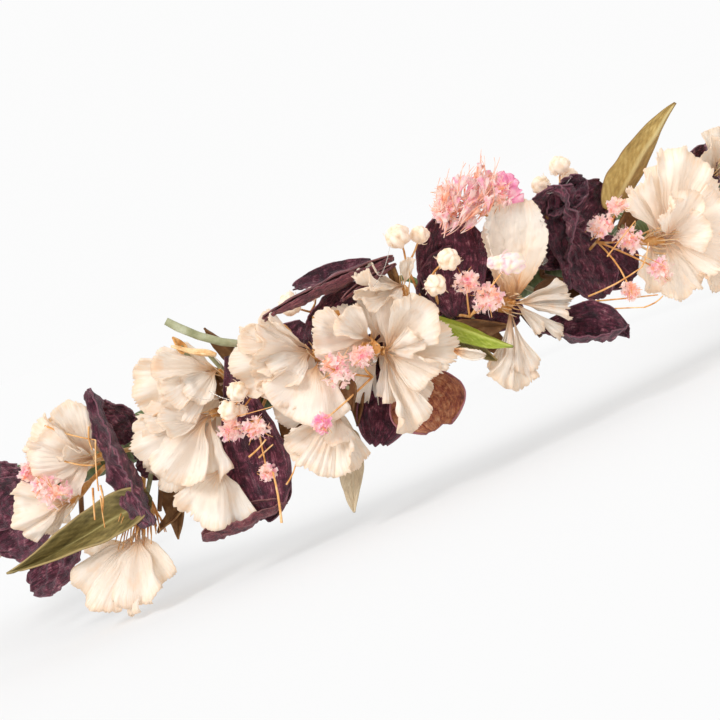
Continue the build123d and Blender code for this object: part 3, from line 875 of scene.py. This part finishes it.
def leafBlade(base, heading, outward, length, width, turn, seed, material, fold=0.3, tipFold=1.1,
              bend=-0.08, sway=0.05):
    # Widest a third of the way up, keeled along the midrib: fold is the slope of the keel at the base and
    # tipFold at the tip, bend the bow of the midrib, sway its swing to one side
    across, along, face = axesOf(heading, outward, turn)

    def place(u, t):
        half = 0.5 * width / length * ((t + 0.02) ** 0.38 * (1.01 - t) ** 0.85) / 0.52
        keel = math.atan(fold + (tipFold - fold) * t * t)
        x, z = half * u * math.cos(keel), half * abs(u) * math.sin(keel)
        z += bend * 4 * t * (1 - t) + 0.012 * u * u * math.sin(9 * t + seed)
        z += 0.02 * noise.noise(Vector((u * 1.2, t * 5, seed)))
        x *= 1 + 0.07 * noise.noise(Vector((math.copysign(1, u), t * 7, seed)))
        x += sway * math.sin(math.pi * t + seed) * t
        return base + (across * x + along * t + face * z) * length * mm

    return dressed(thicken(gridSheet(20, 48, place, seed % maps), leafThickness), material)


# Each blade: place of its base, (swing, lean), length, width, turn, material, look
leaves = {
    "olive_leaf_1": [((-27.4, 106, -9.6), (183, 8), 36.5, 12, 14, oliveLeaf, {"fold": 0.8, "tipFold": 2.6})],
    "olive_leaf_2": [((34.5, 103, 6), (32, 8), 29, 9.5, 14, paleOliveLeaf, {"fold": -0.5, "tipFold": -0.7,
                                                                            "bend": -0.02, "sway": 0})],
    "olive_leaf_3": [((8.3, 108, 2.2), (-41, 12), 17, 6.5, -20, greenLeaf, {"fold": -1.1, "tipFold": -1.3}),
                     ((9.5, 104, -1.5), (-50, 5), 12, 5, 20, oliveLeaf, {})],
    "olive_leaf_4": [((-4.3, 103, -12), (255, 15), 16, 7.5, 15, tanLeaf, {"fold": 0.6})],
}
brownBlades = [
    ((-15, 99, -3), (95, 12), 14, 6, 20, brownScrap, {}), ((-13, 100, 9), (105, 15), 9, 5, -30, brownScrap, {}),
    ((-1, 101, -1), (250, 18), 12, 5, 30, brownScrap, {}), ((-27, 99, -8), (262, 10), 12, 6, 0, brownScrap, {}),
    ((-24, 99, -10), (215, 12), 13, 6, 40, brownScrap, {}), ((-21, 98, 3), (170, 5), 12, 5, 0, brownScrap, {}),
    ((-8, 99, 0), (240, 8), 13, 6, 0, brownScrap, {}), ((10, 100, -2), (-20, 10), 13, 6, 30, brownScrap, {}),
    ((14, 99, -4), (-70, 10), 10, 5, 0, brownScrap, {}), ((36, 100, 2), (20, 15), 12, 5, 30, brownScrap, {}),
    ((22, 99, -3), (-10, 5), 14, 6, 0, brownScrap, {}),
    ((-14, 105, 11.5), (145, 12), 9, 2.6, 60, paleStrip, {"fold": 1.5}),
    ((-17, 105, 14.5), (100, 20), 4, 2.2, 30, calyxSkin, {}), ((1.5, 105, 7), (150, 5), 9, 4, 20, calyxSkin, {}),
    ((-2.0, 109, -2.5), (255, 10), 6, 4.5, 30, brownScrap, {}),
    ((-5.6, 105, 11), (200, 10), 6, 4, 20, calyxSkin, {}), ((2.2, 107, 2.2), (205, 10), 6, 5, 10, calyxSkin, {}),
    ((-9, 99, -4), (240, 5), 9, 6, 10, brownScrap, {}),
]


def leafPiece(node, blades, seed):
    parts = []
    for count, (place, (swing, lean), length, width, turn, material, look) in enumerate(blades):
        base = onCrown(*place)
        heading = headingAt(place[0], swing, lean)
        outward = crownAxes(place[0])[0]
        parts.append(leafBlade(base, heading, outward, length, width, turn, seed + count, material, **look))
        petiole = bowed(nearTape(place[0]), base + heading * 1.5 * mm, straight, 0.6, 0.45, 3)
        parts.append(rods([petiole], stalkSkin))
    standFor(joined(parts, node), node)


for seed, (node, blades) in enumerate(leaves.items(), 40):
    leafPiece(node, blades, seed)
leafPiece("brown_leaves", brownBlades, 70)


def sideLeaves():
    parts = []
    for count, points in enumerate(islandsOf("olive_leaves_sides")):
        stand = standOf(points)
        foot, tip = stand["foot"], stand["tip"]
        dice = random.Random(60 + count)
        length = (tip - foot).length / mm * 0.9
        width, turn = length * dice.uniform(0.32, 0.42), dice.uniform(-20, 20)
        outward = (stand["outward"] + stand["facing"]).normalized()
        blade = leafBlade(foot.lerp(tip, 0.1), tip - foot, outward, length, width, turn, 60 + count, oliveLeaf)
        parts.append(blade)
        parts.append(rods([bowed(foot, foot.lerp(tip, 0.18), straight, 0.6, 0.45, 2)], stalkSkin))
    standFor(joined(parts, "olive_leaves_sides"), "olive_leaves_sides")


sideLeaves()

# The bare stalk that stands out at the top, as (place, radius) from its foot
stalkRun = [
    ((-9.5, tapeRadius, 0), 0.6), ((-9.5, 99, 8.5), 0.7), ((-11.0, 105, 11.8), 0.75), ((-12.5, 107, 13.6), 0.8),
    ((-14.3, 108.5, 16.5), 0.8), ((-15.8, 109.5, 19.6), 0.85), ((-16.6, 110, 21.6), 0.75)]


def greenStalk():
    stalk = rods([[(onCrown(*place), radius) for place, radius in stalkRun]], stalkSkin, 3)
    standFor(joined([stalk], "green_stalk"), "green_stalk")


greenStalk()
print("leaves done")


# Small florets and buds: one of each is modelled, then copied. Shares of the floret's radius
floretPlan = {"petals": 5, "notch": 0.42, "hollow": 0.45, "lift": 0.35}


def floretPattern():
    # One floret: a star of narrow petals round a hollow
    clearSelection()
    bpy.ops.mesh.primitive_circle_add(vertices=floretPlan["petals"] * 2, radius=1, fill_type="TRIFAN")
    floret = bpy.context.object
    for vertex in floret.data.vertices:
        if vertex.co.xy.length < 0.1:
            vertex.co.z = -floretPlan["hollow"]
            continue
        angle = math.atan2(vertex.co.y, vertex.co.x)
        peak = round(angle / (math.pi / floretPlan["petals"])) % 2 == 0
        vertex.co.xy *= 1.0 if peak else floretPlan["notch"]
        vertex.co.z = floretPlan["lift"] if peak else 0.0
    if not floret.data.uv_layers:
        floret.data.uv_layers.new(name="UVMap")
    floret.data.uv_layers[0].name = "UVMap"
    floret.name = "floretPattern"
    return floret


def budPattern():
    # One bud: petals folded over each other, drawn as ridges on a ball
    clearSelection()
    bpy.ops.mesh.primitive_uv_sphere_add(segments=30, ring_count=16, radius=1)
    bud = bpy.context.object
    for vertex in bud.data.vertices:
        angle = math.atan2(vertex.co.y, vertex.co.x)
        height = vertex.co.z
        ridge = 0.34 * abs(math.sin(2.5 * angle + 1.9 * height)) ** 0.6 * (1 - height ** 4)
        vertex.co *= 0.74 + ridge + 0.14 * noise.noise(vertex.co * 2.1)
        vertex.co.z *= 1.2
        vertex.co.xy *= 1 - 0.25 * max(0.0, height)
    bpy.ops.object.shade_smooth()
    bud.data.uv_layers[0].name = "UVMap"
    bud.name = "budPattern"
    return bud


floretShape = floretPattern()
budShape = budPattern()


def copyAt(pattern, spot, size, aim, spin, material):
    # A copy with its own mesh, its place in the mesh
    made = bpy.data.objects.new(pattern.name, pattern.data.copy())
    bpy.context.collection.objects.link(made)
    turn = aim.to_track_quat("Z", "Y").to_matrix() @ Matrix.Rotation(spin, 3, "Z")
    made.data.transform(Matrix.Translation(spot) @ (turn * size * mm).to_4x4())
    return dressed(made, material)


def randomAim(dice):
    height, angle = dice.uniform(-1, 1), dice.uniform(0, fullTurn)
    flat = math.sqrt(1 - height * height)
    return Vector((flat * math.cos(angle), flat * math.sin(angle), height))


def fluff(centre, radius, dice, count, material):
    # A ball of florets, each pointing away from the middle
    parts = []
    for _ in range(count):
        aim = randomAim(dice)
        spot = centre + aim * radius * dice.uniform(0.25, 1.15) * mm
        size, spin = dice.uniform(0.55, 1.35), dice.uniform(0, fullTurn)
        parts.append(copyAt(floretShape, spot, size, aim, spin, material))
    return parts


budShare = 0.88  # of a head's radius, for the bud without the tips of its sepals


def sepalsOf(spot, radius, aim, dice, material):
    # Thin strips that clasp a bud from below
    side = aim.orthogonal().normalized()
    base = spot - aim * radius * 0.85 * mm
    sepals = []
    for step in range(14):
        outwards = Matrix.Rotation(step * 0.45 + dice.uniform(-0.2, 0.2), 3, aim) @ side
        tip = spot + outwards * radius * dice.uniform(0.9, 1.35) * mm
        tip += aim * radius * dice.uniform(-0.8, 0.5) * mm
        sepals.append(bowed(base, tip, (outwards - aim * 0.4) * 0.5 * mm, 0.16, 0.05, 5))
    return rods(sepals, material)


def budHead(spot, radius, stemFrom, dice):
    # A round bud, its outer petals standing out a little
    aim = (spot - stemFrom).normalized()
    radius *= budShare
    parts = [copyAt(budShape, spot, radius, aim, dice.uniform(0, fullTurn), budPetal)]
    for _ in range(3):
        offset = randomAim(dice) * radius * 0.45 * mm
        turned, spin = randomAim(dice), dice.uniform(0, fullTurn)
        parts.append(copyAt(budShape, spot + offset, radius * 0.62, turned, spin, budPetal))
    parts.append(sepalsOf(spot, radius, aim, dice, budPetal))
    return parts


def blushHead(spot, radius, stemFrom, dice):
    # A long half-open bud that points to the right, thicker towards its mouth
    radius *= budShare
    stemAim = (spot - stemFrom).normalized()
    parts = [copyAt(budShape, spot, radius, stemAim, dice.uniform(0, fullTurn), blushBud)]
    aim = headingAt(16.5, -25, 15)
    for step in range(5):
        along = spot + aim * (1.1 * step - 3.2) * mm
        parts.append(copyAt(budShape, along, radius * (0.55 + 0.11 * step), aim, step, blushBud))
    parts.append(sepalsOf(spot, radius, aim, dice, blushBud))
    return parts


# Sprigs: the foot round the ring, the place of the fork, heads as (place, radius), loose straws as (start,
# end, radius). "bright" and "blush" are the radii of the heads that are a bright floret or a blush bud
pinkSprigs = {
    "pink_sprig_1": {"foot": 19, "fork": (20, 102, 15), "statice": True, "heads": [
        ((14, 107, 20), 2.2), ((20, 109, 18.5), 2.4), ((16, 104, 22), 2.4)]},
    "pink_sprig_2": {"foot": 0, "bright": 1.8, "fork": (0.5, 107, -4), "heads": [
        ((-2.5, 114, 0.5), 3.2), ((0.3, 113, 1), 2.2), ((-5.5, 117.5, -7.5), 1.8)]},
    "pink_sprig_3": {"foot": -12, "fork": (-12.5, 106, -3), "straws": [
        ((-13.8, 113, -8.6), (-11.5, 113, -6.7), 0.22), ((-13.2, 111, -9.6), (-11.2, 112, -8.2), 0.2),
        ((-13.1, 115, -22.5), (-12.3, 112, -13), 0.26), ((-11.7, 111, -16.4), (-9.7, 110, -12.5), 0.2),
        ((-15, 112, 0), (-9.5, 112, -1.5), 0.12)], "heads": [
        ((-14.8, 111, -2.5), 2.1), ((-12, 112, -4), 2.3), ((-13, 111, -13), 1.4)]},
    "pink_sprig_4": {"foot": 12.5, "blush": 2.3, "fork": (12.5, 106, -1), "heads": [
        ((12.8, 111, 5.5), 2.2), ((14, 112, 1), 2.6), ((16.5, 117.5, 6), 2.3)]},
    "pink_sprig_5": {"foot": -37, "fork": (-37, 104, 0), "straws": [
        ((-34, 112, 12), (-29.5, 110, 5.5), 0.2), ((-29.5, 110, 5.5), (-31, 112, -4), 0.22),
        ((-29.6, 110, 8.5), (-30, 111, 4), 0.24), ((-31.5, 112, -3), (-32.5, 113, -9), 0.24),
        ((-30.5, 112, -3), (-31.2, 113, -8), 0.24), ((-31, 112, -5), (-31.3, 114, -11), 0.16),
        ((-33.5, 112, 4), (-31, 110, 1), 0.2)], "heads": [
        ((-36, 113, -1.2), 3.0), ((-37.6, 112, 0.6), 2.0), ((-40, 110, 4.5), 1.6)]},
    "pink_sprig_6": {"foot": 31, "fork": (31, 103, 2), "straws": [
        ((25, 106, -7.5), (31.2, 114, -12), 0.2), ((24.5, 106, -9), (29, 114, -13), 0.18),
        ((29, 114, -13), (31.3, 115, -12.5), 0.18), ((26, 106, -7), (31, 113, -5.8), 0.22),
        ((28, 112, -1), (33, 112, 3), 0.16), ((31, 113, -5.8), (33.5, 112, -2), 0.18),
        ((31, 113, -3), (33, 115, -7.5), 0.12)], "heads": [
        ((31.6, 112, 7.2), 1.6), ((29, 112, -9), 1.7),
        ((29.5, 110, 5), 2.2), ((32, 110, 0), 2.5), ((34, 111, -8), 2.2)]},
}
budSprigs = {
    "bud_sprig_1": {"foot": 10.5, "fork": (10.5, 105, 9), "heads": [
        ((12, 112, 11), 2.4), ((9.8, 111.5, 7.5), 2.3)]},
    "bud_sprig_2": {"foot": 9.5, "fork": (8.8, 102, 13), "heads": [
        ((8.8, 106, 19), 2.6), ((11.3, 104, 17.5), 2.0)]},
    "bud_sprig_3": {"foot": -11, "fork": (-11.5, 105, 3), "heads": [
        ((-12.4, 112, 3.8), 2.2), ((-13.2, 109.5, 0), 1.3), ((-14.1, 111.5, 1.1), 2.2)]},
    "bud_sprig_4": {"foot": -3, "fork": (-3, 99, 12), "heads": [
        ((-4.6, 103, 15.2), 2.5), ((-1.8, 103, 15.4), 1.6)]},
    "bud_sprig_5": {"foot": 29, "fork": (29.5, 99, 12), "heads": [
        ((27, 103, 17), 2.0), ((30, 104, 19), 2.2), ((32, 101, 16), 2.0)]},
}


twigRadii = {"stem": (0.34, 0.26), "branch": (0.24, 0.16), "stamen": (0.12, 0.05), "hair": (0.07, 0.035)}
trumpetPlan = {"count": 95, "hairRadii": (0.11, 0.05), "skins": [pinkFloret] * 3 + [peachFloret, pinkFloret]}
rolledPlan = {"count": 7, "length": 4.6}


def floretHead(spot, radius, outward, dice, material):
    # A fluffy head, a few stamens and the fine hairs that stand out of it
    parts = fluff(spot, radius, dice, int(16 * radius), material)
    parts += fluff(spot, radius * 0.9, dice, 10, peachFloret)
    stamens, hairs = [], []
    for _ in range(4):
        end = spot + randomAim(dice) * radius * 1.6 * mm
        stamens.append(bowed(spot, end, randomAim(dice) * 0.5 * mm, *twigRadii["stamen"], 4))
    for _ in range(24):
        aim = (randomAim(dice) + outward * 0.4).normalized()
        end = spot + aim * radius * dice.uniform(1.1, 1.5) * mm
        hairs.append(bowed(spot, end, randomAim(dice) * 0.5 * mm, *twigRadii["hair"], 5))
    return parts, stamens, hairs


def staticeHead(dice):
    # Papery trumpets that flare up and to the right, with one bright floret rolled up at their side
    parts, hairs = [], []
    for count in range(trumpetPlan["count"]):
        step = dice.random()
        start = onCrown(13.0 + 6.0 * step, dice.uniform(103, 110), 15.0 + dice.uniform(-1, 5.5) + 2 * step)
        heading = headingAt(17, dice.uniform(12, 78), dice.uniform(-25, 35))
        outward, length = randomAim(dice), dice.uniform(3, 5.6)
        petal = fanPetal(start, heading, outward, length, 0, count, 8, 5, fan=dice.uniform(16, 38), cup=60,
                         narrow=0.3, curl=dice.uniform(-60, 60))
        parts.append(dressed(petal, dice.choice(trumpetPlan["skins"])))
        end = start + heading * dice.uniform(4, 8) * mm
        hairs.append(bowed(start, end, randomAim(dice) * mm, *trumpetPlan["hairRadii"], 5))
    for count in range(rolledPlan["count"]):
        start = onCrown(20.5 + 0.25 * count, 108.5, 16 + 0.5 * count)
        heading = headingAt(20, 25 + 20 * count, 20)
        petal = fanPetal(start, heading, crownAxes(20)[0], rolledPlan["length"], 0, 7 * count, 14, 8,
                         cup=80, curl=-80, teeth=0.0)
        parts.append(dressed(petal, brightFloret))
    return parts, hairs


def sprigPiece(node, plan, seed, slot):
    dice = random.Random(seed)
    fork = onCrown(*plan["fork"])
    twigs = [bowed(nearTape(plan["foot"]), fork, randomAim(dice) * 0.4 * mm, *twigRadii["stem"], 4)]
    parts, hairs = [], []
    for place, radius in plan["heads"]:
        spot = onCrown(*place)
        twigs.append(bowed(fork, spot, randomAim(dice) * 0.8 * mm, *twigRadii["branch"], 5))
        if slot == "cream_bud":
            parts += budHead(spot, radius, fork, dice)
        elif plan.get("blush") == radius:
            parts += blushHead(spot, radius, fork, dice)
        else:
            skin = brightFloret if plan.get("bright") == radius else pinkFloret
            florets, stamens, fine = floretHead(spot, radius, crownAxes(place[0])[0], dice, skin)
            parts += florets
            twigs += stamens
            hairs += fine
    for start, end, radius in plan.get("straws", ()):
        sag = randomAim(dice) * 0.4 * mm
        twigs.append(bowed(onCrown(*start), onCrown(*end), sag, radius, radius * 0.7, 4))
    hairSkin = pinkFloret
    if plan.get("statice"):
        hairSkin = peachFloret
        petals, fine = staticeHead(dice)
        parts += petals
        hairs += fine
    parts.append(rods(twigs, orangeTwig))
    if hairs:
        parts.append(rods(hairs, hairSkin))
    standFor(joined(parts, node), node)


for seed, (node, plan) in enumerate(pinkSprigs.items(), 80):
    sprigPiece(node, plan, seed, "pink_floret")
for seed, (node, plan) in enumerate(budSprigs.items(), 90):
    sprigPiece(node, plan, seed, "cream_bud")


def sideSprigs(node, slot, seed):
    parts, twigs = [], []
    for count, points in enumerate(islandsOf(node)):
        stand = standOf(points)
        dice = random.Random(seed + count)
        fork = stand["foot"].lerp(stand["middle"], 0.6)
        twigs.append(bowed(stand["foot"], fork, randomAim(dice) * 0.4 * mm, *twigRadii["stem"], 4))
        for _ in range(3):
            spot = stand["tip"].lerp(stand["middle"], 0.3) + randomAim(dice) * 2.6 * mm
            twigs.append(bowed(fork, spot, randomAim(dice) * 0.6 * mm, *twigRadii["branch"], 4))
            if slot == "cream_bud":
                parts += budHead(spot, dice.uniform(1.7, 2.2), fork, dice)
            else:
                parts += fluff(spot, dice.uniform(1.8, 2.4), dice, 16, pinkFloret)
    parts.append(rods(twigs, orangeTwig))
    standFor(joined(parts, node), node)


sideSprigs("pink_sprigs_sides", "pink_floret", 100)
sideSprigs("bud_sprigs_sides", "cream_bud", 120)
bpy.data.objects.remove(floretShape)
bpy.data.objects.remove(budShape)
print("sprigs done")


# Tape wound in overlapping turns round the ring: its radius, how far apart the turns are, how high their steps
tapePlan = {
    "floral_tape_front": {"spans": [(-108.0, 108.0)], "radius": 2.7, "turn": 7.0, "step": 0.22},
    "floral_tape_tails": {"spans": [(108.0, 165.5), (-108.0, -165.5)], "radius": 1.5, "turn": 5.0, "step": 0.18},
}


def woundTape(start, end, plan, seed):
    length = math.radians(abs(end - start)) * wireRadius

    def place(u, t):
        around = start + (end - start) * t
        outward, _, up = crownAxes(around)
        angle = math.pi * u
        wind = (t * length / plan["turn"] + u / 2) % 1
        uneven = 0.07 * noise.noise(Vector((u * 3, t * length * 0.6, seed)))
        swell = plan["radius"] + plan["step"] * (wind - 0.5) + uneven
        if t in (0.0, 1.0):
            swell *= 0.93
        across = outward * math.cos(angle) + up * math.sin(angle)
        return onCrown(around, wireRadius, 0) + across * swell * mm

    sheet = gridSheet(18, int(length / 0.9), place)
    bpy.ops.object.mode_set(mode="EDIT")
    bpy.ops.mesh.select_all(action="SELECT")
    bpy.ops.mesh.remove_doubles(threshold=0.00003)
    bpy.ops.mesh.normals_make_consistent(inside=False)
    bpy.ops.object.mode_set(mode="OBJECT")
    bpy.ops.object.shade_smooth()
    return dressed(sheet, tapeSkin)


for node, plan in tapePlan.items():
    wound = [woundTape(start, end, plan, seed) for seed, (start, end) in enumerate(plan["spans"])]
    standFor(joined(wound, node), node)

for node in ("base_wire", "ribbon_eye_left", "ribbon_eye_right"):
    dressed(bpy.data.objects[node], wirePaper)
dressed(bpy.data.objects["stem_bundle"], stalkSkin)


# Strings of glue drawn out thin: where each starts, and its step to the end
glueStrings = [
    ((4, 112, 12), (3, 2, 6)), ((-14, 112, 4), (-3, 1, 3)), ((-15, 112, 6), (3, 1, -4)),
    ((1, 112, 2), (1, 1.5, -2)), ((25, 110, 15), (3, 1, 1))]


def glueDrops():
    parts = []
    for count, points in enumerate(islandsOf("glue_drops")):
        middle = Vector((points.min(axis=0) + points.max(axis=0)) / 2)
        radius = float((points.max(axis=0) - points.min(axis=0)).max() / 2)
        clearSelection()
        bpy.ops.mesh.primitive_uv_sphere_add(segments=24, ring_count=14, radius=1)
        drop = bpy.context.object
        for vertex in drop.data.vertices:
            lump = 1 + 0.25 * noise.noise(vertex.co * 1.3 + Vector((count, 0, 0)))
            vertex.co = middle + vertex.co * radius * lump
        bpy.ops.object.shade_smooth()
        drop.data.uv_layers[0].name = "UVMap"
        parts.append(dressed(drop, glueSkin))
    strings = []
    sag = Vector((0, -0.6, -0.8)) * mm
    for start, step in glueStrings:
        end = [a + b for a, b in zip(start, step)]
        strings.append(bowed(onCrown(*start), onCrown(*end), sag, 0.09, 0.05, 8))
    parts.append(rods(strings, glueSkin))
    standFor(joined(parts, "glue_drops"), "glue_drops")


glueDrops()
print("ring done")


# A lit table under the crown: metres across, mm below it, part paint and part glow, which keeps the shadow
# faint and the far edge as white as the room
floorPlan = {"size": 60, "gap": 0.5, "paint": "#a0a0a0", "glow": 0.5}


def floorPlane():
    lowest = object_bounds()[0].z
    clearSelection()
    bpy.ops.mesh.primitive_plane_add(size=floorPlan["size"], location=(0, 0, lowest - floorPlan["gap"] * mm))
    floor = bpy.context.object
    floor.name = "floor"
    material, tree = newMaterial("paleFloor")
    face = addNode(tree, "ShaderNodeBsdfPrincipled", {
        "Base Color": hexColour(floorPlan["paint"]), "Roughness": 1.0, "Specular IOR Level": 0.0,
        "Emission Color": (1, 1, 1, 1), "Emission Strength": floorPlan["glow"]})
    showSurface(tree, face.outputs[0])
    floor.data.materials.append(material)


# White all round, and a broad soft light from the upper left
lightPlan = {"room": 0.97, "key": 1.9, "spread": 24, "shines": (0.5, 0.75, -0.72)}


def studio():
    world = bpy.data.worlds.new("paleRoom")
    bpy.context.scene.world = world
    world.use_nodes = True
    background = world.node_tree.nodes["Background"]
    background.inputs["Color"].default_value = (1, 1, 1, 1)
    background.inputs["Strength"].default_value = lightPlan["room"]
    light = bpy.data.lights.new("broadKey", "SUN")
    light.energy = lightPlan["key"]
    light.angle = math.radians(lightPlan["spread"])
    lamp = bpy.data.objects.new("broadKey", light)
    bpy.context.collection.objects.link(lamp)
    lamp.rotation_euler = Vector(lightPlan["shines"]).to_track_quat("-Z", "Y").to_euler()
    bpy.context.scene.view_settings.view_transform = "Standard"
    bpy.context.scene.view_settings.look = "None"


# The crown's front nearly level with the eye, the camera rolled so that the band climbs to the right
cameraPlan = {"distance": 450, "target": (0, 108, 0), "elevation": 3.0, "roll": 23.3, "lens": 117}


def camera():
    lift, roll = math.radians(cameraPlan["elevation"]), math.radians(cameraPlan["roll"])
    toEye = Vector((0, -math.cos(lift), math.sin(lift)))
    levelUp = Vector((0, math.sin(lift), math.cos(lift)))
    right = Vector((1, 0, 0)) * math.cos(roll) - levelUp * math.sin(roll)
    up = Vector((1, 0, 0)) * math.sin(roll) + levelUp * math.cos(roll)
    lens = bpy.data.cameras.new("camera")
    lens.lens = cameraPlan["lens"]
    lens.clip_start = 0.01
    eye = bpy.data.objects.new("camera", lens)
    bpy.context.collection.objects.link(eye)
    turned = Matrix((right, up, toEye)).transposed().to_4x4()
    spot = onCrown(*cameraPlan["target"]) + toEye * cameraPlan["distance"] * mm
    eye.matrix_world = Matrix.Translation(spot) @ turned
    bpy.context.scene.camera = eye


floorPlane()
studio()
camera()
print("stage done")
